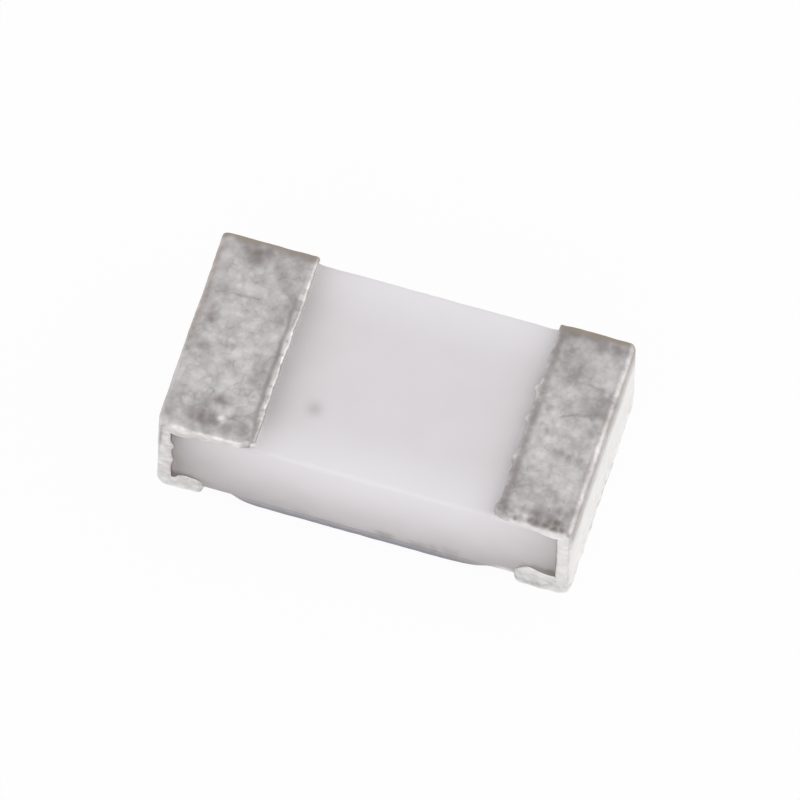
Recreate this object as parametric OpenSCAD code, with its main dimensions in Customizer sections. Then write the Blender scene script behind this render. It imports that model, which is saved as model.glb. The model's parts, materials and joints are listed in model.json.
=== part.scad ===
// Chip fuse for surface mounting: a ceramic slab with a fusible link printed under it and a
// wrapped metal terminal on each end. It lies as it was photographed, with the bare ceramic
// face up and the coated face down.
// X runs along the chip from the left terminal to the right one, Y runs across it and Z is up.
// The origin is under the middle of the chip, on the plane that the two feet stand on.
// All sizes are in millimetres.

/* [Ceramic slab] */
// Length of the ceramic slab
ceramic_l = 2.88; // [2.7:0.01:3.1]
// Width of the ceramic slab
ceramic_w = 1.59; // [1.45:0.01:1.7]
// Thickness of the ceramic slab
ceramic_t = 0.775; // [0.6:0.005:0.9]
// Rounding of the slab's four long edges
ceramic_edge_r = 0.02; // [0.01:0.005:0.04]

/* [Terminals, outside] */
// Metal above the slab's upper face
top_metal_t = 0.065; // [0.065:0.005:0.1]
// Metal below the slab's lower face, which the chip stands on
foot_metal_t = 0.11; // [0.1:0.005:0.13]
// Metal beyond each end face of the slab
end_metal_t = 0.11; // [0.1:0.005:0.13]
// How far the metal stands out from the slab's long sides
side_metal_t = 0.015; // [0.01:0.005:0.04]
// Length of the left terminal's upper band, from the outer face
left_band_l = 0.73; // [0.6:0.01:0.8]
// Length of the right terminal's upper band, from the outer face
right_band_l = 0.57; // [0.5:0.01:0.8]
// Length of the left terminal's foot, from the outer face
left_foot_l = 0.36; // [0.33:0.01:0.45]
// Length of the right terminal's foot, from the outer face
right_foot_l = 0.43; // [0.36:0.01:0.45]
// How far the bands hang down over the slab's long sides
band_lip = 0.055; // [0.02:0.005:0.08]
// How far the left foot climbs the slab's long sides
left_foot_lip = 0.09; // [0.03:0.005:0.12]
// How far the right foot climbs the slab's long sides
right_foot_lip = 0.115; // [0.03:0.005:0.13]

/* [Terminals, rounding] */
// Rounding of the upper outer edge
top_corner_r = 0.05; // [0.02:0.005:0.06]
// Rounding of the lower outer edge
foot_corner_r = 0.11; // [0.05:0.005:0.12]
// Rounding of a band's inner edge
band_tip_r = 0.045; // [0.02:0.005:0.06]
// Rounding of a foot's inner edge
foot_tip_r = 0.09; // [0.04:0.005:0.095]
// Rounding of the edges that run along the chip
side_edge_r = 0.035; // [0.015:0.005:0.045]
// Rounding of the upright corners, seen from above
plan_corner_r = 0.05; // [0.02:0.005:0.07]

/* [Terminals, layers] */
// Thickness of the printed pads, upper and lower
pad_t = 0.02; // [0.015:0.001:0.025]
// Gap from a pad's edge to the slab's long edge
pad_inset = 0.06; // [0.04:0.005:0.08]
// Thickness of the edge electrode on the slab's end face
edge_electrode_t = 0.025; // [0.015:0.001:0.03]
// Thickness of the edge electrode's laps on the pads
lap_t = 0.015; // [0.01:0.001:0.02]
// Length of the edge electrode's laps
lap_l = 0.20; // [0.1:0.01:0.24]
// Thickness of the nickel barrier
nickel_t = 0.012; // [0.008:0.001:0.015]
// How far the tin runs past the nickel on the upper face
tin_overrun = 0.06; // [0.03:0.005:0.08]
// Thickness of the tin between a foot and the cover coat
toe_tin_t = 0.018; // [0.01:0.001:0.022]

/* [Fuse element] */
// Length of the glaze under the link
glaze_l = 1.20; // [1:0.02:1.3]
// Width of the glaze under the link
glaze_w = 1.10; // [0.8:0.02:1.2]
// Length of the fusible link
link_l = 1.60; // [1.4:0.02:1.7]
// Width of the link at its ends
link_w = 0.60; // [0.4:0.02:0.7]
// Width of the link at its neck, where it melts
neck_w = 0.12; // [0.08:0.01:0.2]
// Radius of the two round notches that make the neck
notch_r = 0.30; // [0.28:0.01:0.4]
// Thickness of the link
link_t = 0.015; // [0.01:0.001:0.02]
// Length of the glass patch that quenches the arc
arc_glass_l = 0.56; // [0.4:0.02:0.7]
// Width of the glass patch
arc_glass_w = 0.50; // [0.4:0.02:0.7]
// Rounding of the glass patch's four corners
arc_glass_r = 0.06; // [0.02:0.01:0.1]
// Height of the glass patch over the glaze
arc_glass_t = 0.04; // [0.03:0.005:0.05]

/* [Cover coat] */
// Distance from the middle of the chip to the coat's left edge
coat_left = 0.99; // [0.9:0.01:1.05]
// Distance from the middle of the chip to the coat's right edge
coat_right = 0.95; // [0.9:0.01:1.0]
// Thickness of the coat over most of its length
coat_t = 0.09; // [0.085:0.001:0.095]
// Thickness of the coat at its two ends
coat_end_t = 0.03; // [0.022:0.001:0.04]
// Length over which the coat thins down to each end
coat_slope_l = 0.27; // [0.15:0.01:0.3]
// Rounding of the coat's long lower edges
coat_edge_r = 0.03; // [0.01:0.005:0.04]

/* [Hidden] */

// Heights and reaches that the pieces share
slab_low = foot_metal_t;
slab_high = slab_low + ceramic_t;
chip_h = slab_high + top_metal_t;
slab_end = ceramic_l / 2;
chip_end = slab_end + end_metal_t;
chip_w = ceramic_w + 2 * side_metal_t;
pad_w = ceramic_w - 2 * pad_inset;
nickel_w = pad_w + 2 * nickel_t;
toe_w = nickel_w + 2 * toe_tin_t;
lap_start = slab_end - lap_l;
nickel_end = slab_end + edge_electrode_t + nickel_t;
// Cutting solids pass beyond the faces that they cut by this much
past = 0.05;

$fn = 96;

// An upright wall with its outline in the plane of X and Z, carried along Y
module carried_along_y(width) {
    rotate([90, 0, 0])
        linear_extrude(height = width, center = true)
            children();
}

// A wall with its outline in the plane of Y and Z, carried along X
module carried_along_x(length) {
    rotate([90, 0, 90])
        linear_extrude(height = length, center = true)
            children();
}

// A rectangle from one corner to the opposite one
module rectangle(low, high) {
    translate(low)
        square(high - low);
}

// What a rounded corner takes away. The corner is at point, and side gives its direction
// from the middle of the outline, such as [1, -1] for right and low.
module corner_waste(point, side, r) {
    reach = r + past;
    centre = [point[0] - side[0] * r, point[1] - side[1] * r];
    difference() {
        translate([centre[0] + side[0] * reach / 2, centre[1] + side[1] * reach / 2])
            square(reach, center = true);
        translate(centre)
            circle(r = r);
    }
}

// A rectangle with four equal round corners
module round_rectangle(low, high, r) {
    difference() {
        rectangle(low, high);
        corner_waste([low[0], low[1]], [-1, -1], r);
        corner_waste([high[0], low[1]], [1, -1], r);
        corner_waste([low[0], high[1]], [-1, 1], r);
        corner_waste([high[0], high[1]], [1, 1], r);
    }
}

// A block centred on Y, given by its reach along X and along Z
module block(x_low, x_high, width, z_low, z_high) {
    translate([x_low, -width / 2, z_low])
        cube([x_high - x_low, width, z_high - z_low]);
}

module slab_solid() {
    carried_along_x(ceramic_l)
        round_rectangle([-ceramic_w / 2, slab_low], [ceramic_w / 2, slab_high], ceramic_edge_r);
}

// The terminals are drawn for the right end. The left end mirrors them with its own lengths.

// Start of the upper pad, under a band of the given length
function back_pad_start(band_l) = chip_end - band_l + tin_overrun + nickel_t;

module back_pad_solid(band_l) {
    block(back_pad_start(band_l), slab_end, pad_w, slab_high, slab_high + pad_t);
}

module front_pad_solid() {
    block(glaze_l / 2, slab_end, pad_w, slab_low - pad_t, slab_low);
}

// The edge electrode as a block that still holds the slab and the ends of the pads
module edge_electrode_block() {
    block(lap_start, slab_end + edge_electrode_t, pad_w,
        slab_low - pad_t - lap_t, slab_high + pad_t + lap_t);
}

// The nickel barrier's outer form, which still holds all that it covers
module nickel_block(band_l, coat_edge) {
    pad_rise = pad_t + nickel_t;
    lap_rise = pad_rise + lap_t;
    block(back_pad_start(band_l) - nickel_t, slab_end, nickel_w, slab_high - past, slab_high + pad_rise);
    block(lap_start - nickel_t, nickel_end, nickel_w, slab_low - lap_rise, slab_high + lap_rise);
    block(coat_edge, slab_end, nickel_w, slab_low - pad_rise, slab_low + past);
}

// The terminal's outline seen from the side: the band, the end wall and the foot, with the
// lips that lap the slab's long sides
module terminal_outline(band_l, foot_l, foot_lip) {
    band_tip = chip_end - band_l;
    foot_tip = chip_end - foot_l;
    band_low = slab_high - band_lip;
    foot_high = slab_low + foot_lip;
    difference() {
        union() {
            rectangle([band_tip, band_low], [chip_end, chip_h]);
            rectangle([slab_end, 0], [chip_end, chip_h]);
            rectangle([foot_tip, 0], [chip_end, foot_high]);
        }
        corner_waste([chip_end, chip_h], [1, 1], top_corner_r);
        corner_waste([chip_end, 0], [1, -1], foot_corner_r);
        corner_waste([band_tip, chip_h], [-1, 1], band_tip_r);
        corner_waste([foot_tip, 0], [-1, -1], foot_tip_r);
        corner_waste([foot_tip, foot_high], [-1, 1], foot_lip);
    }
}

// The whole terminal's outer form: its outline carried across the chip, with the edges that
// run along the chip and the upright corners rounded off
module terminal_form(band_l, foot_l, foot_lip) {
    intersection() {
        carried_along_y(chip_w)
            terminal_outline(band_l, foot_l, foot_lip);
        carried_along_x(2 * chip_end)
            round_rectangle([-chip_w / 2, 0], [chip_w / 2, chip_h], side_edge_r);
        linear_extrude(height = chip_h)
            round_rectangle([-chip_end, -chip_w / 2], [chip_end, chip_w / 2], plan_corner_r);
    }
}

// The thin tin over the pad between the foot and the cover coat
module toe_form(foot_l, coat_edge) {
    block(coat_edge, chip_end - foot_l + foot_tip_r, toe_w,
        slab_low - pad_t - nickel_t - toe_tin_t, slab_low);
}

module edge_electrode(band_l) {
    difference() {
        edge_electrode_block();
        slab_solid();
        back_pad_solid(band_l);
        front_pad_solid();
    }
}

module nickel_barrier(band_l, coat_edge) {
    difference() {
        nickel_block(band_l, coat_edge);
        edge_electrode_block();
        slab_solid();
        back_pad_solid(band_l);
        front_pad_solid();
    }
}

module tin_coat(band_l, foot_l, foot_lip, coat_edge) {
    difference() {
        union() {
            terminal_form(band_l, foot_l, foot_lip);
            toe_form(foot_l, coat_edge);
        }
        slab_solid();
        nickel_block(band_l, coat_edge);
    }
}

module glaze_solid() {
    block(-glaze_l / 2, glaze_l / 2, glaze_w, slab_low - pad_t, slab_low);
}

// The link is a flat strip, narrowed to a neck by a round notch in each side
module link_solid() {
    translate([0, 0, slab_low - pad_t - link_t])
        linear_extrude(height = link_t)
            difference() {
                square([link_l, link_w], center = true);
                for (side = [-1, 1])
                    translate([0, side * (neck_w / 2 + notch_r)])
                        circle(r = notch_r);
            }
}

// A printed patch of glass over the link's neck, before the link is taken out of it
module arc_glass_block() {
    half = [arc_glass_l / 2, arc_glass_w / 2];
    translate([0, 0, slab_low - pad_t - arc_glass_t])
        linear_extrude(height = arc_glass_t)
            round_rectangle(-half, half, arc_glass_r);
}

// The cover coat's outline seen from the side. Each end thins down along an arc.
module coat_outline() {
    fall = coat_t - coat_end_t;
    arc_r = (coat_slope_l * coat_slope_l + fall * fall) / (2 * fall);
    flat_left = -coat_left + coat_slope_l;
    flat_right = coat_right - coat_slope_l;
    face = slab_low - coat_t;
    rectangle([flat_left, face], [flat_right, slab_low]);
    intersection() {
        rectangle([-coat_left, face], [flat_left, slab_low]);
        translate([flat_left, face + arc_r])
            circle(r = arc_r);
    }
    intersection() {
        rectangle([flat_right, face], [coat_right, slab_low]);
        translate([flat_right, face + arc_r])
            circle(r = arc_r);
    }
}

module coat_form() {
    intersection() {
        carried_along_y(ceramic_w)
            coat_outline();
        carried_along_x(2 * chip_end)
            round_rectangle([-ceramic_w / 2, slab_low - coat_t],
                [ceramic_w / 2, slab_high], coat_edge_r);
    }
}

module ceramic_substrate() {
    color([0.86, 0.85, 0.87])
        slab_solid();
}

module left_back_pad() {
    color("silver")
        mirror([1, 0, 0])
            back_pad_solid(left_band_l);
}

module right_back_pad() {
    color("silver")
        back_pad_solid(right_band_l);
}

module left_front_pad() {
    color("silver")
        mirror([1, 0, 0])
            front_pad_solid();
}

module right_front_pad() {
    color("silver")
        front_pad_solid();
}

module under_glaze() {
    color([0.93, 0.94, 0.90])
        glaze_solid();
}

module fuse_link() {
    color([0.78, 0.77, 0.74])
        link_solid();
}

module arc_glass() {
    color([0.55, 0.62, 0.55])
        difference() {
            arc_glass_block();
            link_solid();
        }
}

module cover_coat() {
    color([0.20, 0.17, 0.20])
        difference() {
            coat_form();
            slab_solid();
            glaze_solid();
            front_pad_solid();
            mirror([1, 0, 0])
                front_pad_solid();
            link_solid();
            arc_glass_block();
        }
}

module left_edge_electrode() {
    color([0.72, 0.72, 0.70])
        mirror([1, 0, 0])
            edge_electrode(left_band_l);
}

module right_edge_electrode() {
    color([0.72, 0.72, 0.70])
        edge_electrode(right_band_l);
}

module left_nickel_barrier() {
    color([0.62, 0.60, 0.56])
        mirror([1, 0, 0])
            nickel_barrier(left_band_l, coat_left);
}

module right_nickel_barrier() {
    color([0.62, 0.60, 0.56])
        nickel_barrier(right_band_l, coat_right);
}

module left_tin_coat() {
    color([0.68, 0.66, 0.65])
        mirror([1, 0, 0])
            tin_coat(left_band_l, left_foot_l, left_foot_lip, coat_left);
}

module right_tin_coat() {
    color([0.68, 0.66, 0.65])
        tin_coat(right_band_l, right_foot_l, right_foot_lip, coat_right);
}

ceramic_substrate();
left_back_pad();
right_back_pad();
left_front_pad();
right_front_pad();
under_glaze();
fuse_link();
arc_glass();
cover_coat();
left_edge_electrode();
right_edge_electrode();
left_nickel_barrier();
right_nickel_barrier();
left_tin_coat();
right_tin_coat();
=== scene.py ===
"""A chip fuse for surface mounting: a bare ceramic slab, a wrapped tin terminal on each end, and a
thin dark coat underneath. Lengths are in metres. MM turns millimetres into metres."""

import json
import math
from collections import namedtuple

import bmesh
import bpy
import numpy as np
from bpy.props import FloatProperty, FloatVectorProperty, PointerProperty
from mathutils import Matrix, Vector


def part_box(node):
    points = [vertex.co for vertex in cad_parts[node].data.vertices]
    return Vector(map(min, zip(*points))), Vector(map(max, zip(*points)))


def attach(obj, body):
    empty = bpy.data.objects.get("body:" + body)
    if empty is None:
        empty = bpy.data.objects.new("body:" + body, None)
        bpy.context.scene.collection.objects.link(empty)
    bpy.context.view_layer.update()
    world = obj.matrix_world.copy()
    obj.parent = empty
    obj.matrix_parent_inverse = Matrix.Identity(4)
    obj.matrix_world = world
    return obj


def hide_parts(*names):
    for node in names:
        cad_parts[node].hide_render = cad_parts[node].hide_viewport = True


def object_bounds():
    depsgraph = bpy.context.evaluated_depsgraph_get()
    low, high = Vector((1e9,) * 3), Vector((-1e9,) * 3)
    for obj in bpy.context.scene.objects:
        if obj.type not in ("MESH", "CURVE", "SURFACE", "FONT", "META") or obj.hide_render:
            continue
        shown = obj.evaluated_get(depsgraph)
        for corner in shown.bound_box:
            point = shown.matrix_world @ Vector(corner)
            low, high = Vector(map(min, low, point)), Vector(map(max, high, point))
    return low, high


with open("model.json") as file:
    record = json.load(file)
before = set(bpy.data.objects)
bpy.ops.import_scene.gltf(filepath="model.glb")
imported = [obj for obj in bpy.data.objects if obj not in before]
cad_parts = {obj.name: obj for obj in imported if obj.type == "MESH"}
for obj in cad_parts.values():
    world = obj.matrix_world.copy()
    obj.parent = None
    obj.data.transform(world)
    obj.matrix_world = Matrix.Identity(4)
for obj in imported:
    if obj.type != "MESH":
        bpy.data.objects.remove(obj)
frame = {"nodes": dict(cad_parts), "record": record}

bl_info = {
    "name": "Chip Fuse",
    "version": (1, 0, 0),
    "blender": (4, 5, 0),
    "location": "3D View > Sidebar > Chip Fuse",
    "description": "Builds a surface mount chip fuse with its finishes, stage and camera",
    "category": "Add Mesh",
}

MM = 0.001


def node_box(name):
    """The low and high corners of a CAD node's box."""
    return [Vector(corner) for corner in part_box(name)]


CAD_BOX = [[float(c) for c in corner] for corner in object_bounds()]
CHIP_END, CHIP_HALF_W, CHIP_H = CAD_BOX[1]
SLAB_LOW, SLAB_HIGH = node_box("ceramic_substrate")
COAT_LOW, COAT_HIGH = node_box("cover_coat")
NICKEL_LOW, NICKEL_HIGH = node_box("right_nickel_barrier")
ELECTRODE_LOW, ELECTRODE_HIGH = node_box("right_edge_electrode")
PAD_HIGH = node_box("right_back_pad")[1]
GLAZE_HIGH = node_box("under_glaze")[1]
LEFT_BAND, RIGHT_BAND = 0.73 * MM, 0.57 * MM
TOE_TIN = 0.018 * MM


# Noise, worked out for whole arrays of points

def lattice_value(cell, seed):
    """A number from 0 to 1 for each whole-number cell, mixed from its three indices and a seed."""
    i = cell.astype(np.int64)
    mixed = (i[..., 0] * 73856093) ^ (i[..., 1] * 19349663) ^ (i[..., 2] * 83492791) ^ (seed * 26544357)
    mixed = (mixed ^ (mixed >> 13)) * 1274126177
    mixed = (mixed ^ (mixed >> 16)) & 0xFFFFFF
    return mixed / 0xFFFFFF


def smooth_noise(points, cell_size, seed):
    """Noise from about -1 to 1. Each corner of the lattice holds a slope, and the ramps that the
    eight corners give a point are blended with the fifth-power ease curve along each axis."""
    p = points / cell_size
    base = np.floor(p)
    f = p - base
    blend = f * f * f * (f * (f * 6 - 15) + 10)
    total = np.zeros(points.shape[:-1])
    for corner in np.ndindex(2, 2, 2):
        cell = base + corner
        turn = lattice_value(cell, seed) * 2 * math.pi
        lift = lattice_value(cell, seed + 17) * 2 - 1
        flat = np.sqrt(1 - lift * lift)
        offset = f - corner
        level = np.cos(turn) * offset[..., 0] + np.sin(turn) * offset[..., 1]
        ramp = flat * level + lift * offset[..., 2]
        weight = np.prod(np.where(corner, blend, 1 - blend), axis=-1)
        total += ramp * weight
    return total * 1.6


def layered_noise(points, cell_size, layers, seed):
    """Smooth noise summed over layers, each half the size and half the height of the one before."""
    return sum(smooth_noise(points, cell_size / 2 ** n, seed + 31 * n) / 2 ** n for n in range(layers))


def warped(points, cell_size, reach, seed):
    """The points pushed about by noise of the given cell size, up to about reach along each axis."""
    push = [smooth_noise(points, cell_size, seed + 101 * axis) for axis in range(3)]
    return points + reach * np.stack(push, axis=-1)


def ease(low, high, value):
    """Zero at low and before, one at high and beyond, and a smooth cubic step between them."""
    t = np.clip((value - low) / (high - low), 0, 1)
    return t * t * (3 - 2 * t)


def hump(middle, reach, value):
    """One at the middle, falling away on both sides as a bell whose half width is reach."""
    return np.exp(-((value - middle) / reach) ** 2)


def segment_distance(points, a, b):
    """Distance in X and Y from each point to the line from a to b."""
    a, b = np.array(a), np.array(b)
    along = np.clip(((points - a) @ (b - a)) / ((b - a) @ (b - a)), 0, 1)
    return np.linalg.norm(points - a - along[..., None] * (b - a), axis=-1)


# Lines and meshes

def line(steps, a, b):
    """Points from a to b in equal steps, without b itself."""
    share = np.arange(steps)[:, None] / steps
    return np.array(a) + (np.array(b) - np.array(a)) * share


def arc(steps, centre, radius, start_deg, end_deg):
    """Points along a circle about centre in equal steps, without the last one."""
    turn = np.radians(start_deg + (end_deg - start_deg) * np.arange(steps) / steps)
    return np.array(centre) + radius * np.column_stack([np.cos(turn), np.sin(turn)])


def at_depth(profile, y):
    """The points of a line in X and Z, set at y, which is one number or one for each point."""
    return np.column_stack([profile[:, 0], np.broadcast_to(y, len(profile)), profile[:, 1]])


def ring_normals(rings):
    """Unit normals of a surface given as closed rings: the cross product of the differences along
    the rings' path and around each ring."""
    along = np.gradient(rings, axis=0)
    around = np.roll(rings, -1, axis=1) - np.roll(rings, 1, axis=1)
    n = np.cross(along, around)
    return n / np.maximum(np.linalg.norm(n, axis=-1, keepdims=True), 1e-20)


def ring_mesh(name, rings, masks=None):
    """A closed mesh from rings (stations, points around, 3). Each ring is joined to the next by
    quads, and a fan to its middle closes the first and the last. Masks become float attributes."""
    stations, around, _ = rings.shape
    verts = np.concatenate([rings.reshape(-1, 3), rings[:1].mean(axis=1), rings[-1:].mean(axis=1)])
    start = np.arange(stations - 1)[:, None] * around
    ahead = start + around
    here = np.arange(around)
    after = (here + 1) % around
    quads = np.stack([start + here, start + after, ahead + after, ahead + here], axis=-1)
    last = (stations - 1) * around
    first_fan = np.stack([after, here, np.full(around, stations * around)], axis=-1)
    last_fan = np.stack([last + here, last + after, np.full(around, stations * around + 1)], axis=-1)
    corners = np.concatenate([quads.ravel(), first_fan.ravel(), last_fan.ravel()])
    counts = np.repeat([4, 3], [quads.size // 4, 2 * around])
    mesh = bpy.data.meshes.new(name)
    mesh.vertices.add(len(verts))
    mesh.vertices.foreach_set("co", verts.ravel())
    mesh.loops.add(len(corners))
    mesh.loops.foreach_set("vertex_index", corners)
    mesh.polygons.add(len(counts))
    mesh.polygons.foreach_set("loop_start", np.cumsum(counts) - counts)
    mesh.update(calc_edges=True)
    mesh.polygons.foreach_set("use_smooth", np.ones(len(counts), dtype=bool))
    for label, values in (masks or {}).items():
        layer = mesh.attributes.new(label, "FLOAT", "POINT")
        fans = [values[0].mean(), values[-1].mean()]
        layer.data.foreach_set("value", np.concatenate([values.ravel(), fans]))
    close_and_face_out(mesh)
    obj = bpy.data.objects.new(name, mesh)
    bpy.context.scene.collection.objects.link(obj)
    return obj


def close_and_face_out(mesh):
    """Merges the points that fall together and turns every face outwards."""
    nearest = 0.00002 * MM
    bm = bmesh.new()
    bm.from_mesh(mesh)
    bmesh.ops.remove_doubles(bm, verts=bm.verts, dist=nearest)
    bmesh.ops.dissolve_degenerate(bm, edges=bm.edges, dist=nearest)
    bmesh.ops.recalc_face_normals(bm, faces=bm.faces)
    bm.to_mesh(mesh)
    bm.free()


def finished(piece, material, node):
    """Gives a piece its material and its place in the frame: it rides on the root and stands for
    the CAD node."""
    piece.data.materials.append(material)
    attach(piece, "root")
    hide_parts(node)


# Shader maths

class Value:
    """A node's output that takes part in expressions. Each step adds a Math node."""

    def __init__(self, shader, out):
        self.shader = shader
        self.out = out

    def _math(self, operation, *terms):
        return self.shader.node("ShaderNodeMath", {"operation": operation}, dict(enumerate(terms)))

    def __add__(self, other):
        return self._math("ADD", self, other)

    def __radd__(self, other):
        return self._math("ADD", other, self)

    def __sub__(self, other):
        return self._math("SUBTRACT", self, other)

    def __rsub__(self, other):
        return self._math("SUBTRACT", other, self)

    def __mul__(self, other):
        return self._math("MULTIPLY", self, other)

    def __rmul__(self, other):
        return self._math("MULTIPLY", other, self)

    def step(self, low, high):
        """Zero below low, one above high, and a smooth step between them."""
        return self.shader.node(
            "ShaderNodeMapRange", {"interpolation_type": "SMOOTHSTEP"}, {0: self, 1: low, 2: high})


class Shader:
    """A material's node tree, with one method that makes any node."""

    def __init__(self, name):
        self.material = bpy.data.materials.new(name)
        self.material.use_nodes = True
        self.tree = self.material.node_tree
        self.tree.nodes.clear()

    def node(self, kind, settings, inputs, output=0):
        """Makes a node, sets its settings, feeds its sockets and returns one of its outputs, if it
        has any."""
        made = self.tree.nodes.new(kind)
        for key, value in settings.items():
            setattr(made, key, value)
        for key, value in inputs.items():
            if isinstance(value, Value):
                self.tree.links.new(value.out, made.inputs[key])
            else:
                made.inputs[key].default_value = value
        return Value(self, made.outputs[output]) if len(made.outputs) else None

    def place(self):
        """Object coordinates."""
        return self.node("ShaderNodeTexCoord", {}, {}, "Object")

    def height(self):
        """The Z of the object coordinates."""
        return self.node("ShaderNodeSeparateXYZ", {}, {0: self.place()}, 2)

    def mask(self, name):
        """A float attribute of the mesh."""
        return self.node("ShaderNodeAttribute", {"attribute_name": name}, {}, "Fac")

    def noise(self, size, detail=2.0, roughness=0.5, distortion=0.0):
        """Noise from 0 to 1 whose cells are about size across."""
        return self.node("ShaderNodeTexNoise", {}, {
            "Vector": self.place(), "Scale": 1 / size, "Detail": detail, "Roughness": roughness,
            "Distortion": distortion})

    def flakes(self, size, push):
        """How far a place is from the middle of its flake, in flake sizes, and the flake's own tone
        from 0 to 1. The flakes are cells about size across, on coordinates that noise pushes about."""
        pushing = self.node("ShaderNodeTexNoise", {}, {
            "Vector": self.place(), "Scale": 1 / size}, "Color")
        moved = self.node("ShaderNodeVectorMath", {"operation": "MULTIPLY_ADD"}, {
            0: pushing, 1: (push, push, push), 2: self.place()})
        away = self.node("ShaderNodeTexVoronoi", {"feature": "SMOOTH_F1"}, {
            "Vector": moved, "Scale": 1 / size, "Smoothness": 0.25})
        return away, Value(self, away.out.node.outputs["Color"])

    def stroke(self, size, half_width):
        """One along the winding lines where noise passes its middle value, and zero elsewhere."""
        away = self.node("ShaderNodeMath", {"operation": "ABSOLUTE"}, {0: self.noise(size, 1.0) - 0.5})
        return 1 - away.step(0.3 * half_width, half_width)

    def mix(self, factor, a, b, blend="MIX"):
        """Colour b laid over colour a by the factor."""
        colours = [c if isinstance(c, Value) else (*c, 1) for c in (a, b)]
        return self.node("ShaderNodeMix", {"data_type": "RGBA", "blend_type": blend},
                         {0: factor, 6: colours[0], 7: colours[1]}, 2)

    def bump(self, height, distance):
        """A Bump node. Height 1 stands for the distance."""
        return self.node("ShaderNodeBump", {}, {
            "Height": height, "Distance": distance, "Strength": 1.0})

    def finish(self, constants, links):
        """The shader: plain values on its own sockets, and links for what varies."""
        surface = self.node("ShaderNodeBsdfPrincipled", {}, {**constants, **links})
        self.node("ShaderNodeOutputMaterial", {}, {"Surface": surface})
        return self.material


def darker(colour, share):
    """A plain colour times a share."""
    return tuple(c * share for c in colour)


# Sizes and colours that a user would change

def length(name, description, default_mm):
    """A length property with its default in millimetres."""
    return FloatProperty(
        name=name, description=description, default=default_mm * MM, unit="LENGTH", precision=6)


def tone(name, description, default):
    """A colour property."""
    return FloatVectorProperty(
        name=name, description=description, default=default, subtype="COLOR", min=0, max=1)


class FuseTinProps(bpy.types.PropertyGroup):
    left_foot: length("Left foot", "Length of the left foot, from the outer face", 0.36)
    right_foot: length("Right foot", "Length of the right foot, from the outer face", 0.43)
    left_foot_lip: length("Left foot lip", "How far the left foot climbs the slab's long sides", 0.09)
    right_foot_lip: length(
        "Right foot lip", "How far the right foot climbs the slab's long sides", 0.115)
    band_lip: length("Band lip", "How far the bands hang down over the slab's long sides", 0.055)
    top_corner: length("Upper corner", "Rounding of the upper outer edge", 0.06)
    foot_corner: length("Lower corner", "Rounding of the lower outer edge", 0.11)
    band_tip: length("Band tip", "Rounding of a band's inner edge", 0.03)
    foot_tip: length("Foot tip", "Rounding of a foot's inner edge", 0.09)
    side_edge: length("Near edge", "Rounding of the edge that runs along the chip's near side", 0.036)
    far_edge: length("Far edge", "Rounding of the edge that runs along the chip's far side", 0.012)
    foot_edge: length("Foot edge", "Rounding of the feet's lower edges along the chip's sides", 0.018)
    left_shoulder: length(
        "Left shoulder", "Rounding added to the left band's near edge at its outer end", 0.05)
    plan_corner: length("Plan corner", "Rounding of the upright corners", 0.035)
    swell: length("Swell", "Height of the broad swells in the tin", 0.004)
    lump: length("Lump", "Height of the small lumps in the tin", 0.0015)
    ragged: length("Ragged edge", "How far the tin's edge wanders on the slab's long sides", 0.005)
    light_tin: tone("Light tin", "Colour of the lighter patches of tin", (0.805, 0.78, 0.79))
    grey_tin: tone("Grey tin", "Colour of the greyer patches of tin", (0.420, 0.402, 0.402))
    # bright tin is laid on by the bright mask: painted highlights, glints and painted light, along with
    # cleaner tin
    bright_tin: tone("Bright tin", "Colour of the clean tin on the sides and ends", (0.94, 0.925, 0.91))
    # the tarnish colour also paints the shade in the grooves, on the tips' rounding and along the rims
    tarnish_and_shade: tone("Tarnish", "Colour of the darkened tin", (0.26, 0.228, 0.22))
    brown: tone("Brown tin", "Colour of the tin along the outer rims", (0.40, 0.345, 0.29))


class FuseCeramicProps(bpy.types.PropertyGroup):
    body: tone("Ceramic", "Colour of the clear ceramic", (0.828, 0.806, 0.838))
    shade: tone(
        "Shaded ceramic", "Colour of the ceramic where metal and coat darken it", (0.335, 0.303, 0.30))
    # the stain colour also paints shadow in the corners above the feet and under the left band's outer
    # end
    stain_and_shade: tone("Stain", "Colour of the residue above the feet", (0.13, 0.115, 0.09))
    edge: length("Upper edge", "Rounding of the slab's upper long edges", 0.03)
    low_edge: length("Lower edge", "Rounding of the slab's lower long edges", 0.006)


class FuseCoatProps(bpy.types.PropertyGroup):
    dark: tone("Coat", "Colour of the cover coat", (0.25, 0.245, 0.30))
    pale: tone(
        "Pale coat", "Colour of the coat where it thins out up the slab's side", (0.40, 0.385, 0.395))
    speck: tone("Specks", "Colour of the coat's specks and smears", (0.17, 0.155, 0.11))
    wander: length("Wander", "How far the coat's edges wander", 0.006)


class FuseStageProps(bpy.types.PropertyGroup):
    azimuth: FloatProperty(
        name="Azimuth", description="Camera angle round the chip, from straight in front",
        default=math.radians(16.142), subtype="ANGLE")
    elevation: FloatProperty(
        name="Elevation", description="Camera angle above the table", default=math.radians(62.513),
        subtype="ANGLE")
    roll: FloatProperty(
        name="Roll", description="Turn of the camera about its own axis", default=math.radians(1.053),
        subtype="ANGLE")
    distance: length("Distance", "From the camera to the chip's foot plane", 125.3)
    scale: FloatProperty(
        name="Scale", description="Pixels per millimetre at the chip, in an image 800 pixels wide",
        default=139.143)
    table: tone("Table", "Colour of the table", (0.9, 0.9, 0.9))
    room: tone("Room", "Colour of the room's light", (0.80, 0.795, 0.79))


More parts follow.
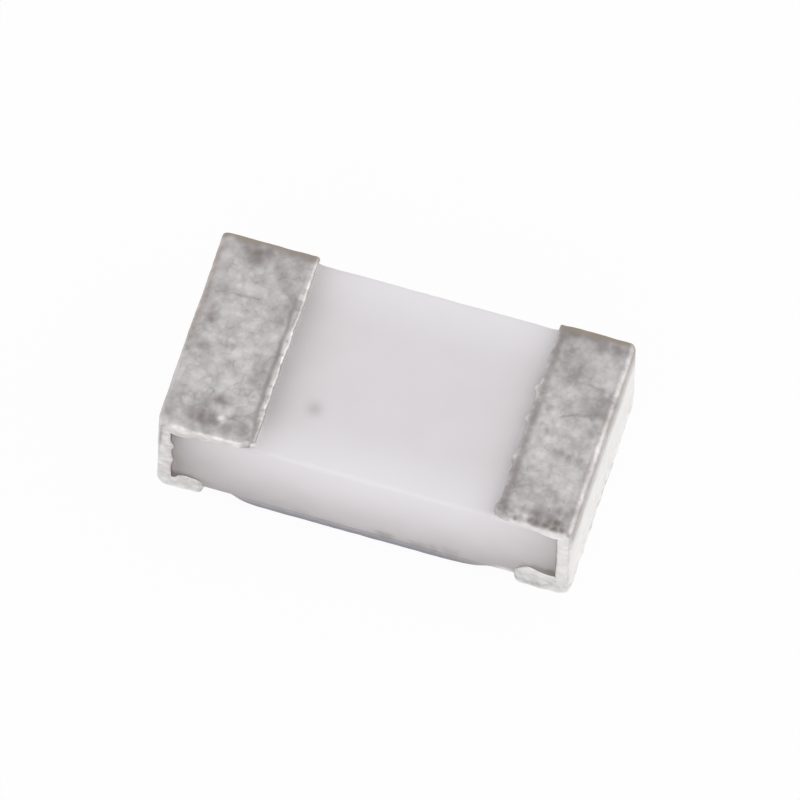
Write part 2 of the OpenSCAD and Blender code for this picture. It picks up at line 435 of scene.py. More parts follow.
# The tin terminals. An end's side is 1 for the right one and -1 for the left one, and its lengths
# are in metres. Marks are in millimetres from the middle of the chip, as they lie on the bands'
# upper faces: blotches, and beads with their painted glints and highlights, are (x, y, radius,
# strength), and creases run from point to point.
# Growths are where the tin on the slab's long sides reaches further or less far: (distance from
# the middle, height, reach along each, amount), and those low down act on the foot alone. Lobes are
# where a band's tip reaches further or less far: (y, reach, amount). Noise on points times ACROSS
# varies along Y alone.

ACROSS = np.array([0, 1, 0])
End = namedtuple("End", (
    "side node band_tip coat_edge foot foot_lip shoulder side_clean seed "
    "blotches creases beads growths lobes"))

LEFT_BLOTCHES = (
    (-1.26, 0.70, 0.080, 0.90), (-1.34, 0.72, 0.07, 0.70), (-1.18, 0.73, 0.06, 0.70),
    (-1.28, 0.64, 0.045, 0.60), (-1.45, 0.70, 0.06, 0.35), (-1.425, 0.10, 0.045, 0.75),
    (-1.44, 0.19, 0.04, 0.35), (-1.40, -0.13, 0.045, 0.50), (-1.20, -0.06, 0.030, 0.40),
    (-1.26, -0.08, 0.035, 0.35), (-1.44, -0.21, 0.035, 0.35), (-1.38, 0.36, 0.05, 0.35),
    (-0.95, 0.22, 0.045, 0.45), (-1.165, -0.51, 0.042, 0.75), (-1.26, -0.56, 0.05, 0.35),
    (-1.25, -0.675, 0.060, 0.90), (-1.17, -0.675, 0.045, 0.80), (-1.33, -0.685, 0.05, 0.60),
    (-1.05, -0.71, 0.05, 0.45), (-1.03, -0.62, 0.035, 0.30), (-0.93, -0.70, 0.05, 0.55),
    (-0.96, -0.24, 0.04, 0.40), (-0.99, -0.30, 0.035, 0.35), (-1.48, -0.71, 0.05, 0.50),
)
RIGHT_BLOTCHES = (
    (1.32, 0.72, 0.075, 0.65), (1.43, 0.71, 0.06, 0.70), (1.49, 0.72, 0.05, 0.50),
    (1.02, 0.74, 0.06, 0.50), (1.29, 0.52, 0.05, 0.25), (1.25, 0.56, 0.04, 0.20),
    (1.43, 0.18, 0.045, 0.65), (1.45, 0.09, 0.035, 0.40), (1.44, 0.02, 0.040, 0.35),
    (1.38, -0.10, 0.05, 0.30), (1.24, -0.06, 0.05, 0.20), (1.28, -0.20, 0.045, 0.50),
    (1.35, -0.205, 0.040, 0.65), (1.42, -0.215, 0.035, 0.50), (1.36, -0.56, 0.035, 0.45),
    (1.44, -0.09, 0.035, 0.30), (1.27, -0.71, 0.060, 0.85), (1.36, -0.73, 0.055, 0.90),
    (1.42, -0.74, 0.050, 1.00), (1.40, -0.65, 0.035, 0.60), (1.34, -0.66, 0.030, 0.50),
    (1.47, -0.775, 0.035, 0.90), (1.00, -0.75, 0.030, 0.60), (1.46, -0.67, 0.035, 0.45),
    (1.03, -0.72, 0.030, 0.75), (1.00, -0.70, 0.025, 0.60), (1.16, -0.70, 0.03, 0.35),
    (1.28, -0.775, 0.045, 0.90), (1.35, -0.780, 0.045, 1.00), (1.41, -0.785, 0.040, 1.00),
    (1.235, -0.765, 0.030, 0.85), (1.12, -0.775, 0.020, 0.70), (1.09, -0.740, 0.020, 0.45),
)
LEFT_CREASES = (
    ((-1.46, 0.331), (-1.30, 0.342)), ((-1.30, 0.342), (-1.145, 0.350)),
)
RIGHT_CREASES = (
    ((1.20, 0.085), (1.265, 0.127)), ((1.265, 0.127), (1.385, 0.148)),
    ((1.31, 0.394), (1.43, 0.382)),
)
LEFT_BEADS_AND_GLINTS = (
    (-1.50, -0.755, 0.040, 0.5), (-1.42, -0.795, 0.030, 0.7), (-1.36, -0.805, 0.020, 0.5),
    (-0.842, -0.565, 0.022, 0.8), (-1.11, -0.645, 0.026, 1.2), (-1.09, -0.675, 0.018, 0.6),
    (-1.31, -0.02, 0.020, 0.4), (-1.30, 0.415, 0.016, 0.5), (-1.39, -0.45, 0.080, 0.20),
    (-1.04, -0.05, 0.120, 0.15), (-1.38, 0.62, 0.060, 0.20),
)
RIGHT_BEADS_AND_GLINTS = (
    (1.500, -0.725, 0.026, 0.18), (1.183, -0.746, 0.020, 0.8), (0.945, 0.27, 0.026, 1.3),
    (0.955, 0.00, 0.024, 1.3), (0.950, -0.06, 0.020, 0.9), (0.945, -0.30, 0.022, 1.1),
    (1.12, -0.32, 0.022, 0.4), (1.143, 0.10, 0.022, 0.35), (1.127, 0.20, 0.022, 0.30),
    (1.147, -0.01, 0.022, 0.35), (1.150, -0.11, 0.022, 0.30), (0.950, -0.50, 0.020, 0.9),
    (1.46, 0.35, 0.02, 0.5), (1.46, 0.46, 0.07, 0.25), (1.35, -0.40, 0.09, 0.15),
)
LEFT_GROWTHS = (
    (1.44, 0.624, 0.04, 0.050, 0.026), (1.44, 0.41, 0.04, 0.110, 0.018),
    (1.43, 0.20, 0.035, 0.06, -0.062), (1.34, 0.20, 0.04, 0.10, 0.008),
)
RIGHT_GROWTHS = (
    (1.44, 0.84, 0.04, 0.20, -0.008), (1.44, 0.28, 0.04, 0.15, 0.012),
    (1.24, 0.20, 0.09, 0.20, 0.055),
)
LEFT_LOBES = ((0.36, 0.08, 0.006), (-0.14, 0.16, -0.004))
RIGHT_LOBES = (
    (0.27, 0.035, 0.022), (0.03, 0.03, 0.022), (-0.31, 0.035, 0.022), (-0.73, 0.05, 0.02),
    (0.10, 0.9, 0.006),
)


def terminal_lines(end, props):
    """Four matching lines in X and Z along a terminal, drawn for the chip's right end: its outer
    face, its seat on the slab, its bed on the nickel, and the edge of its side lips. They run from
    the band's tip over the end wall to the foot's tip, and on along the toe to the cover coat."""
    top, slab_x, slab_top, slab_low = CHIP_H, SLAB_HIGH.x, SLAB_HIGH.z, SLAB_LOW.z
    lip_z, foot_z = slab_top - props.band_lip, slab_low + end.foot_lip
    start_z = slab_top - 0.002 * MM
    tip, toe, coat = end.band_tip, CHIP_END - end.foot, end.coat_edge
    rt, rc, rf, rq = props.band_tip, props.top_corner, props.foot_corner, props.foot_tip
    nickel_t = NICKEL_HIGH.x - ELECTRODE_HIGH.x
    pad_rise = nickel_t + PAD_HIGH.z - slab_top
    wrap_rise = NICKEL_HIGH.z - slab_top - pad_rise
    wrap_x = ELECTRODE_LOW.x - nickel_t
    toe_z = slab_low - pad_rise - TOE_TIN
    meet_deg = 180 + math.degrees(math.asin((rq - toe_z) / rq))
    meet_x = toe + rq * (1 + math.cos(math.radians(meet_deg)))
    n_face, n_tip, n_band, n_corner, n_wall, n_heel, n_foot, n_toe_arc, n_toe, n_end = (
        8, 8, 76, 10, 84, 18, 18, 14, 16, 4)
    outer = np.concatenate([
        line(n_face, (tip, start_z), (tip, top - rt)),
        arc(n_tip, (tip + rt, top - rt), rt, 180, 90),
        line(n_band, (tip + rt, top), (CHIP_END - rc, top)),
        arc(n_corner, (CHIP_END - rc, top - rc), rc, 90, 0),
        line(n_wall, (CHIP_END, top - rc), (CHIP_END, rf)),
        arc(n_heel, (CHIP_END - rf, rf), rf, 0, -90),
        line(n_foot, (CHIP_END - rf, 0), (toe + rq, 0)),
        arc(n_toe_arc, (toe + rq, rq), rq, 270, meet_deg),
        line(n_toe, (meet_x, toe_z), (coat, toe_z)),
        line(n_end, (coat, toe_z), (coat, slab_low)),
        [(coat, slab_low)],
    ])
    seat = np.concatenate([
        line(n_face, (tip, start_z), (tip, slab_top)),
        line(n_tip, (tip, slab_top), (tip + rt, slab_top)),
        line(n_band, (tip + rt, slab_top), (slab_x, slab_top)),
        line(n_corner, (slab_x, slab_top), (slab_x, slab_top)),
        line(n_wall, (slab_x, slab_top), (slab_x, slab_low)),
        line(n_heel, (slab_x, slab_low), (slab_x, slab_low)),
        line(n_foot, (slab_x, slab_low), (toe + rq, slab_low)),
        line(n_toe_arc, (toe + rq, slab_low), (meet_x, slab_low)),
        line(n_toe, (meet_x, slab_low), (coat, slab_low)),
        line(n_end + 1, (coat, slab_low), (coat, slab_low)),
    ])
    lip = np.concatenate([
        line(n_face + n_tip, (tip, start_z), (tip + rt, lip_z)),
        line(n_band, (tip + rt, lip_z), (slab_x, lip_z)),
        line(n_corner, (slab_x, lip_z), (slab_x, lip_z)),
        line(n_wall, (slab_x, lip_z), (slab_x, foot_z)),
        line(n_heel, (slab_x, foot_z), (slab_x, foot_z)),
        line(n_foot, (slab_x, foot_z), (toe + rq, foot_z)),
        line(n_toe_arc, (toe + rq, foot_z), (meet_x, foot_z)),
        line(n_toe, (meet_x, slab_low), (coat, slab_low)),
        line(n_end + 1, (coat, slab_low), (coat, slab_low)),
    ])
    station = np.arange(len(outer))
    wall_start = n_face + n_tip + n_band + n_corner
    under_start = wall_start + n_wall
    toe_start = under_start + n_heel + n_foot + n_toe_arc
    # the foot's lip comes down to the slab's lower edge along a quarter circle
    near_tip = np.clip((toe + end.foot_lip - lip[:, 0]) / end.foot_lip, 0, 1)
    drop = end.foot_lip * (1 - np.sqrt(1 - near_tip ** 2))
    lip[:, 1] -= np.where((station >= under_start) & (station < toe_start), drop, 0)
    # the bed stands off the seat by the thickness of the layers under the tin, and keeps back from
    # the band's tip
    hair = 0.004 * MM
    keep_back = 0.04 * MM
    overrun = tip + 0.06 * MM
    wrap = wrap_rise * ease(wrap_x - hair, wrap_x + hair, seat[:, 0])
    above = pad_rise * ease(overrun - hair, overrun + hair, seat[:, 0]) + wrap
    below = pad_rise * ease(coat - hair, coat, seat[:, 0]) + wrap
    bed = seat.copy()
    bed[:, 0] += keep_back * (1 - ease(tip, tip + 2 * keep_back, seat[:, 0])) * (station < wall_start)
    bed[:, 1] += np.where(station < wall_start, above, 0) - np.where(station >= under_start, below, 0)
    at_end = seat[:, 0] > slab_x - hair / 4
    bed[:, 0] += np.where(at_end, NICKEL_HIGH.x - slab_x, 0)
    share = np.clip((seat[:, 1] - slab_low) / (slab_top - slab_low), 0, 1)
    on_wall = (station >= wall_start) & (station < under_start)
    bed[:, 1] = np.where(on_wall, NICKEL_LOW.z + share * (NICKEL_HIGH.z - NICKEL_LOW.z), bed[:, 1])
    bed[:, 1] = np.where(station >= toe_start, np.maximum(bed[:, 1], outer[:, 1]), bed[:, 1])
    return outer, seat, bed, lip


def terminal_rings(end, props):
    """Closed rings round a terminal. Each crosses the outer face, rounds the side edge along a
    quarter circle, comes down the side to the lip, turns under it, and returns over the slab and
    the nickel. Also gives the share of the tin's relief that each point takes."""
    outer, seat, bed, lip = terminal_lines(end, props)
    n_across, n_turn, n_side, n_rim, n_inner = 168, 7, 8, 5, 12
    tip_narrowing = 0.042 * MM
    rim_width = 0.030 * MM
    foot_round = CHIP_HALF_W - NICKEL_HIGH.y - TOE_TIN
    x, z = outer[:, :1], outer[:, 1:]
    inward = lip - outer
    depth = np.maximum(np.linalg.norm(inward, axis=1, keepdims=True), 1e-12)
    direction = inward / depth
    past_foot = np.clip((CHIP_END - x - end.foot + foot_round) / foot_round, 0, 1)
    toe_share = np.where(z < SLAB_LOW.z + 0.001 * MM, 1 - np.sqrt(1 - past_foot ** 2), 0)
    at_tip = (z > SLAB_HIGH.z - 0.01 * MM) * (1 - ease(0, 0.13 * MM, x - end.band_tip))
    half = CHIP_HALF_W - foot_round * toe_share
    near_half = half - tip_narrowing * at_tip
    band_share = np.clip((x - end.band_tip) / (CHIP_END - end.band_tip), 0, 1)
    outward = ease(0.6, 1, band_share) * ease(0.4 * CHIP_H, CHIP_H, z)
    high = ease(0.1 * CHIP_H, 0.35 * CHIP_H, z)
    along_side = props.foot_edge + (props.side_edge - props.foot_edge) * high
    near_radius = np.minimum(along_side + end.shoulder * outward, 0.75 * depth)
    far_radius = np.minimum(props.far_edge, 0.75 * depth)
    path = np.concatenate([[0], np.cumsum(np.linalg.norm(np.diff(outer, axis=0), axis=1))])
    turn = np.linspace(0, math.pi / 2, n_turn + 1)[1:]

    def side(sign, radius, half):
        """The columns of one side: round the edge of the outer face, down the side, round the rim
        of the lip onto the slab, and in to the nickel."""
        slab_half = np.where(toe_share > 0.999, half, np.minimum(SLAB_HIGH.y, half))
        wander_at = np.column_stack([path, np.full(len(path), sign * MM), np.zeros(len(path))])
        wander = smooth_noise(wander_at, 0.13 * MM, end.seed + 5)[:, None]
        on_wall = ease(0, 0.08 * MM, x - SLAB_HIGH.x)
        over = ease(SLAB_HIGH.z - 0.03 * MM, SLAB_HIGH.z - 0.005 * MM, z) * (1 - on_wall)
        growth = props.ragged * wander * (1 - over)
        for gx, gz, reach_x, reach_z, amount in end.growths:
            near = hump(gx * MM, reach_x * MM, lip[:, :1]) * hump(gz * MM, reach_z * MM, lip[:, 1:])
            growth += amount * MM * near * np.where(gz < 0.3, np.abs(direction[:, 1:]), 1)
        growth *= 1 - toe_share
        # the band's lip hangs lower towards the end of the chip
        hang = 2.1 * band_share ** (1.5 + 0.5 * end.side)
        growth -= props.band_lip * over * (1.2 - hang + 0.12 * wander)
        edge = lip + direction * np.maximum(growth, -0.55 * depth)
        # the lip's edge stops just short of the slab's end
        edge[:, 0] = np.minimum(edge[:, 0], SLAB_HIGH.x - 0.002 * MM)
        columns = []
        for a in turn:
            place = outer + direction * radius * (1 - math.cos(a))
            columns.append(at_depth(place, sign * (half - radius + radius * math.sin(a))[:, 0]))
        start = outer + direction * radius
        run = np.maximum(np.linalg.norm(edge - start, axis=1, keepdims=True), 1e-12)
        flat = edge - (edge - start) / run * np.minimum(rim_width, 0.5 * run)
        for share in np.arange(1, n_side + 1) / n_side:
            columns.append(at_depth(start + (flat - start) * share, sign * half[:, 0]))
        for a in np.linspace(0, math.pi / 2, n_rim + 1)[1:]:
            rim_y = slab_half + (half - slab_half) * math.cos(a)
            columns.append(at_depth(flat + (edge - flat) * math.sin(a), sign * rim_y[:, 0]))
        columns.append(at_depth((edge + seat) / 2, sign * slab_half[:, 0]))
        columns.append(at_depth(seat, sign * slab_half[:, 0]))
        columns.append(at_depth(seat, sign * NICKEL_HIGH.y))
        return columns

    near_y, far_y = (near_radius - near_half)[:, 0], (half - far_radius)[:, 0]
    shares = np.linspace(0, 1, n_across + 1)
    face = [at_depth(outer, near_y + (far_y - near_y) * share) for share in shares]
    inner = [at_depth(bed, y) for y in np.linspace(NICKEL_HIGH.y, -NICKEL_HIGH.y, n_inner + 1)]
    far_side, near_side = side(1, far_radius, half), side(-1, near_radius, near_half)
    rings = np.stack(face + far_side + inner + near_side[::-1], axis=1)
    n_down = n_side + n_rim
    fade = 1 - ease(0.45, 1, np.arange(1, n_down + 1) / n_down)
    shown = n_turn + n_down
    relief = np.zeros(rings.shape[1])
    relief[:len(face)] = 1
    relief[len(face):len(face) + shown] = np.concatenate([np.ones(n_turn), fade])
    relief[-shown:] = np.concatenate([fade[::-1], np.ones(n_turn)])
    along = ease(0, 0.04 * MM, path) * (1 - ease(path[-1] - 0.05 * MM, path[-1], path))
    return rings, along[:, None] * relief


def tin_relief(points, end, props):
    """Height added to the tin along its normals: broad swells, then small lumps on warped cells,
    higher on the feet and along the upper outer edge."""
    swell = smooth_noise(points, 0.24 * MM, end.seed)
    drawn = warped(points, 0.10 * MM, 0.02 * MM, end.seed + 3) * np.array([1, 1, 0.6])
    lumps = layered_noise(drawn, 0.085 * MM, 3, end.seed + 11)
    on_foot = 1 - ease(SLAB_LOW.z, SLAB_LOW.z + 0.12 * MM, points[..., 2])
    on_edge = hump(CHIP_END - 0.03 * MM, 0.035 * MM, end.side * points[..., 0])
    on_edge *= ease(CHIP_H - 0.10 * MM, CHIP_H - 0.03 * MM, points[..., 2])
    return props.swell * swell + props.lump * lumps * (1 + 3 * on_foot + 1.6 * on_edge)


def bell(points, x, y, radius):
    """A round bell about a place, both in millimetres."""
    return np.exp(-((points[..., 0] - x) ** 2 + (points[..., 1] - y) ** 2) / radius ** 2)


def band_marks(points, end):
    """What shows on a band's upper face: the height it adds, how far the tin is tarnished and painted
    in shade, how bright it is with painted highlights and glints, and how brown it is there.
    Blotches, beads and creases are bells about their middles, on warped points."""
    blotch_dip, crease_dip, bead_rise, groove_dip = (v * MM for v in (0.003, 0.004, 0.004, 0.005))
    crease_reach_mm = 0.011
    x, y, z = (points[..., axis] for axis in range(3))
    blot = warped(points, 0.06 * MM, 0.022 * MM, end.seed + 21)[..., :2] / MM
    fine = warped(points, 0.05 * MM, 0.012 * MM, end.seed + 22)[..., :2] / MM
    patchy = np.clip(0.5 + 0.5 * layered_noise(points, 0.12 * MM, 3, end.seed + 23), 0, 1)
    drawn = points * np.array([0.2, 1, 0.2])
    run = np.clip(0.5 + 0.6 * smooth_noise(drawn, 0.15 * MM, end.seed + 24), 0, 1)
    drawn = points * np.array([0.3, 1, 0.3])
    crumb = np.clip(0.5 + 0.9 * smooth_noise(drawn, 0.055 * MM, end.seed + 26), 0, 1)
    tarnish_and_shade, bright, height = (np.zeros(x.shape) for _ in range(3))
    for bx, by, radius, strength in end.blotches:
        spot = strength * bell(blot, bx, by, radius)
        tarnish_and_shade = np.maximum(tarnish_and_shade, spot)
        height -= blotch_dip * spot
    for a, b in end.creases:
        crease = hump(0, crease_reach_mm, segment_distance(fine, a, b))
        tarnish_and_shade = np.maximum(tarnish_and_shade, 0.38 * crease)
        height -= crease_dip * crease
    # beads raise the tin a little and paint glints and highlights on it
    for bx, by, radius, strength in end.beads:
        spot = strength * bell(fine, bx, by, radius)
        bright = np.maximum(bright, spot)
        tarnish_and_shade *= 1 - 0.8 * np.minimum(spot, 1)
        height += bead_rise * spot
    # the far rim is darker, with tarnish and painted shade where it turns away from the light, and
    # brown at its very edge. The tin in front of it is a little dull
    far = ease(CHIP_HALF_W - 0.11 * MM, CHIP_HALF_W - 0.02 * MM, y + 0.05 * MM * (patchy - 0.5))
    tarnish_and_shade = np.maximum(tarnish_and_shade, far * (0.45 + 0.35 * patchy))
    tarnish_and_shade = tarnish_and_shade + 0.13 * (1 - tarnish_and_shade) * ease(0.15 * MM, 0.60 * MM, y)
    brown = ease(CHIP_HALF_W - 0.07 * MM, CHIP_HALF_W - 0.01 * MM, y + 0.03 * MM * (patchy - 0.5))
    brown *= 0.7 + 0.3 * crumb
    # a groove follows the band's tip, and its darkening is painted shade. On the left band a beaded
    # line of tin, pinched into lengths, lies along it with a painted highlight, and painted shade on
    # the tip's rounding dims the highlight there; on the right band crumbs of painted glint do
    from_tip = end.side * x - end.band_tip
    from_tip += 0.012 * MM * smooth_noise(points * ACROSS, 0.12 * MM, end.seed + 25)
    if end.side < 0:
        shown = ease(-0.68 * MM, -0.54 * MM, y)
        bead_highlight = hump(0.028 * MM, 0.021 * MM, from_tip) * (0.06 + 0.94 * shown)
        groove = hump((0.030 + 0.030 * shown) * MM, 0.021 * MM, from_tip)
        groove *= 1 - 0.65 * ease(0.3 * MM, 0.45 * MM, y)
        groove *= 0.75 + 0.25 * ease(-0.5 * MM, -0.3 * MM, y)
        whole = ease(0.18, 0.46, crumb)
        bright = np.maximum(bright, bead_highlight * (0.25 + 0.80 * run) * (0.30 + 0.62 * whole))
        tarnish_and_shade = np.maximum(tarnish_and_shade, (0.50 - 0.28 * shown) * hump(0.010 * MM, 0.014 * MM, from_tip))
        pinched = 0.34 * shown * (1 - whole)
        tarnish_and_shade = np.maximum(tarnish_and_shade, pinched * hump(0.018 * MM, 0.024 * MM, from_tip))
        height += 0.001 * MM * bead_highlight * run
    else:
        groove = hump(0.032 * MM, 0.035 * MM, from_tip) * (0.75 + 0.35 * crumb)
        crumbs = hump(0, 0.014 * MM, from_tip) * (1 - ease(0.1, 0.45, crumb))
        bright = np.maximum(bright, 0.8 * crumbs * ease(-0.7 * MM, -0.5 * MM, y))
    tarnish_and_shade = np.maximum(tarnish_and_shade, 0.9 * groove * (0.35 + 0.40 * run + 0.20 * patchy))
    height -= groove_dip * groove
    # two lines of dull tin wind along the right band's outer edge. The inner one is a patchy stripe
    # of painted shade that dims the lamp's highlight on the rounding, fainter and a little brown up to
    # its far third. The left band's edge is brown over its far half
    from_outer = CHIP_END - end.side * x
    if end.side > 0:
        nearer = 1 - ease(0.25 * MM, 0.34 * MM, y)
        from_outer -= 0.009 * MM * layered_noise(points * ACROSS, 0.14 * MM, 2, end.seed + 27)
        tarnish_and_shade = np.maximum(tarnish_and_shade, 0.24 * hump(0.009 * MM, 0.016 * MM, from_outer))
        stripe_shade = 0.30 - 0.14 * nearer + (0.20 - 0.12 * nearer) * patchy
        stripe_shade += 0.14 * (1 - ease(-0.72 * MM, -0.50 * MM, y))
        tarnish_and_shade = np.maximum(tarnish_and_shade, stripe_shade * hump(0.035 * MM, 0.026 * MM, from_outer))
        brown = np.maximum(brown, 0.24 * nearer * hump(0.042 * MM, 0.020 * MM, from_outer))
    else:
        edge_brown = 0.75 * patchy * hump(0.020 * MM, 0.035 * MM, from_outer)
        brown = np.maximum(brown, edge_brown * ease(-0.25 * MM, 0, y))
    # the face of the left band's tip is painted bright: painted light that lifts the shade where it
    # meets the slab
    on_top = ease(SLAB_HIGH.z, CHIP_H - 0.030 * MM, z)
    lit_tip_face = (1 - ease(CHIP_H - 0.035 * MM, CHIP_H - 0.015 * MM, z)) * (from_tip < 0.04 * MM)
    lit_tip_face *= end.side < 0
    bright = np.maximum(on_top * bright, lit_tip_face)
    return on_top * height, on_top * tarnish_and_shade * (1 - lit_tip_face), bright, on_top * np.clip(brown, 0, 1)


def cleaned_and_lit(points, end, weight):
    """How clean the tin is, with painted light on its lit faces, and how brown its sides and the upper
    rims of its end walls are, both from 0 to 1. The sides, ends and feet are lighter than the bands'
    upper faces, partly cleaner tin and partly painted light; the end walls are lightest low down, and
    the feet's soles are painted light too. The bands' tips and the lips' edges, where the weight is
    low, are duller."""
    y, z = points[..., 1], points[..., 2]
    below = 1 - ease(CHIP_H - 0.11 * MM, CHIP_H - 0.035 * MM, z)
    side_face = ease(CHIP_HALF_W - 0.007 * MM, CHIP_HALF_W - 0.0005 * MM, np.abs(y))
    side_face *= np.where(y < 0, 1, below)
    end_face = ease(CHIP_END - 0.03 * MM, CHIP_END - 0.005 * MM, end.side * points[..., 0])
    end_face *= 1 - ease(CHIP_H - 0.30 * MM, CHIP_H - 0.03 * MM, z)
    low = 1 - ease(0.14 * MM, 0.26 * MM, z)
    at_tip = 1 - ease(0.01 * MM, 0.11 * MM, end.side * points[..., 0] - end.band_tip)
    at_tip *= z > SLAB_LOW.z + SLAB_HIGH.z / 2
    side_share = end.side_clean + (0.32 - end.side_clean) * low
    # the long sides and the end walls are painted lighter: painted light, along with cleaner tin
    share = np.maximum(side_face * side_share * (1 - 0.7 * at_tip), end_face * (0.82 + 0.18 * low))
    # the feet's soles are painted light
    sole = 1 - ease(0.01 * MM, 0.06 * MM, z)
    squat = points * np.array([1, 1, 1.8])
    mottle = np.clip(0.5 + 0.7 * layered_noise(squat, 0.085 * MM, 2, end.seed + 41), 0, 1)
    clean_and_lit = np.maximum(share, 0.2 * low + 0.6 * sole) * (0.70 + 0.30 * weight)
    clean_and_lit *= 1 - 0.60 * low * (end.side > 0) * (1 - 0.7 * sole) * ease(0.40, 0.70, mottle)
    wrinkle = (0.28 - 0.12 * end.side) * side_face * mottle * (1 - low)
    rim = ease(CHIP_END - 0.014 * MM, CHIP_END - 0.001 * MM, end.side * points[..., 0])
    rim *= (0.36 + 0.28 * mottle) * ease(CHIP_H - 0.30 * MM, CHIP_H - 0.06 * MM, z)
    return clean_and_lit * (1 - (0.16 + 0.3 * low) * mottle), np.maximum(wrinkle, rim)


def terminal(end, props):
    """One terminal. Its rings are drawn for the right end, mirrored for the left one, and then
    raised along their normals. The feet stay on the table."""
    rings, weight = terminal_rings(end, props)
    # on the far side the left end's upright corner is sharper
    far_share = 0.55 if end.side < 0 else 1
    corner = props.plan_corner * np.where(rings[..., 1] > 0, far_share, 1)
    past = np.clip((rings[..., 0] - (CHIP_END - corner)) / corner, 0, 1)
    outermost = ease(CHIP_HALF_W - 4 * corner, CHIP_HALF_W, np.abs(rings[..., 1]))
    rings[..., 1] -= np.sign(rings[..., 1]) * outermost * corner * (1 - np.sqrt(1 - past ** 2))
    wave = smooth_noise(rings * ACROSS, 0.13 * MM, end.seed + 2)
    at_tip = (1 - ease(0, 0.12 * MM, rings[..., 0] - end.band_tip)) * (rings[..., 2] > CHIP_H / 2)
    crumbs = smooth_noise(rings * ACROSS, 0.045 * MM, end.seed + 4)
    rings[..., 0] -= (0.006 * wave + 0.005 * crumbs) * MM * at_tip
    for lobe_y, reach, amount in end.lobes:
        rings[..., 0] -= amount * MM * hump(lobe_y * MM, reach * MM, rings[..., 1]) * at_tip ** 3
    rings[..., 0] *= end.side
    height, tarnish_and_shade, bright, brown = band_marks(rings, end)
    height = (height + tin_relief(rings, end, props)) * weight
    clean_and_lit, side_brown = cleaned_and_lit(rings, end, weight)
    # tin that is painted light takes less tarnish and brown
    dirty_and_unlit = 1 - np.minimum(1.4 * clean_and_lit, 1)
    brown = np.maximum(brown * dirty_and_unlit, side_brown)
    # the bright mask holds painted highlights, glints and painted light, along with cleaner tin
    masks = {"tarnish_and_shade": tarnish_and_shade * dirty_and_unlit, "brown": brown, "bright": np.maximum(bright, clean_and_lit)}
    rings = rings + ring_normals(rings) * end.side * height[..., None]
    rings[..., 2] = np.maximum(rings[..., 2], 0)
    return ring_mesh(end.node.replace("coat", "terminal"), rings, masks)


def tin_material(props):
    """Matt tin: broad grey patches, flakes of two sizes that are lighter in the middle and have tones
    of their own, and short dark strokes. The mesh's masks lay on bright tin with painted highlights
    and painted light, tarnish with painted shade, and brown, and it has a fine grain."""
    s = Shader("tin")
    broad = s.noise(0.26 * MM, 1.0, 0.5, 0.4)
    patch = s.noise(0.085 * MM, 1.0, 0.5, 1.0)
    flake, flake_tone = s.flakes(0.075 * MM, 0.050 * MM)
    chip, chip_tone = s.flakes(0.036 * MM, 0.024 * MM)
    grain = s.noise(0.016 * MM, 2.0, 0.6)
    stroke = s.stroke(0.11 * MM, 0.030) * s.noise(0.07 * MM, 0.0).step(0.50, 0.62)
    tones = 0.34 * flake_tone + 0.29 * chip_tone
    share = 1.3 * broad + 0.45 * patch + tones - 0.38 * flake - 0.18 * chip - 0.20 * stroke - 0.38
    base = s.mix(share, tuple(props.grey_tin), tuple(props.light_tin))
    # the bright mask paints highlights, glints and light on the lit faces, along with cleaner tin
    base = s.mix(s.mask("bright"), base, tuple(props.bright_tin))
    # the tarnish mask holds tarnish and painted shade
    base = s.mix(s.mask("tarnish_and_shade"), base, tuple(props.tarnish_and_shade))
    base = s.mix(s.mask("brown"), base, tuple(props.brown))
    rough = 0.44 - 0.10 * patch + 0.10 * grain
    return s.finish({"Metallic": 1.0},
                    {"Base Color": base, "Roughness": rough, "Normal": s.bump(grain, 0.0009 * MM)})


class FuseTin(bpy.types.Operator):
    """Builds both tin terminals over their CAD nodes"""
    bl_idname = "fuse.tin"
    bl_label = "Tin terminals"

    def execute(self, context):
        props = context.scene.fuse_tin
        finish = tin_material(props)
        # the share below sets how much lighter the long sides are painted: painted light, along with
        # cleaner tin
        left = End(
            side=-1, node="left_tin_coat", band_tip=CHIP_END - LEFT_BAND, coat_edge=-COAT_LOW.x,
            foot=props.left_foot, foot_lip=props.left_foot_lip, shoulder=props.left_shoulder,
            side_clean=0.68, seed=11, blotches=LEFT_BLOTCHES, creases=LEFT_CREASES, beads=LEFT_BEADS_AND_GLINTS,
            growths=LEFT_GROWTHS, lobes=LEFT_LOBES)
        right = End(
            side=1, node="right_tin_coat", band_tip=CHIP_END - RIGHT_BAND, coat_edge=COAT_HIGH.x,
            foot=props.right_foot, foot_lip=props.right_foot_lip, shoulder=0.0, side_clean=0.76,
            seed=47, blotches=RIGHT_BLOTCHES, creases=RIGHT_CREASES, beads=RIGHT_BEADS_AND_GLINTS,
            growths=RIGHT_GROWTHS, lobes=RIGHT_LOBES)
        for end in (left, right):
            finished(terminal(end, props), finish, end.node)
        return {"FINISHED"}


# The ceramic slab

SMUDGE_X, SMUDGE_Y, SMUDGE_REACH = -0.507 * MM, -0.343 * MM, 0.055 * MM
CLEAR_PATCH_X = 1.06 * MM
# smears low on the slab's sides, in millimetres: (x, upper end, reach, strength)
SMEARS = (
    (-0.66, 0.26, 0.07, 0.10), (-0.47, 0.20, 0.06, 0.14), (-0.30, 0.17, 0.10, 0.14),
    (0.03, 0.16, 0.10, 0.10), (0.15, 0.22, 0.07, 0.36), (0.28, 0.17, 0.08, 0.16),
    (0.41, 0.20, 0.07, 0.30), (0.53, 0.21, 0.06, 0.28), (0.65, 0.24, 0.06, 0.22),
    (0.78, 0.16, 0.06, 0.10),
)


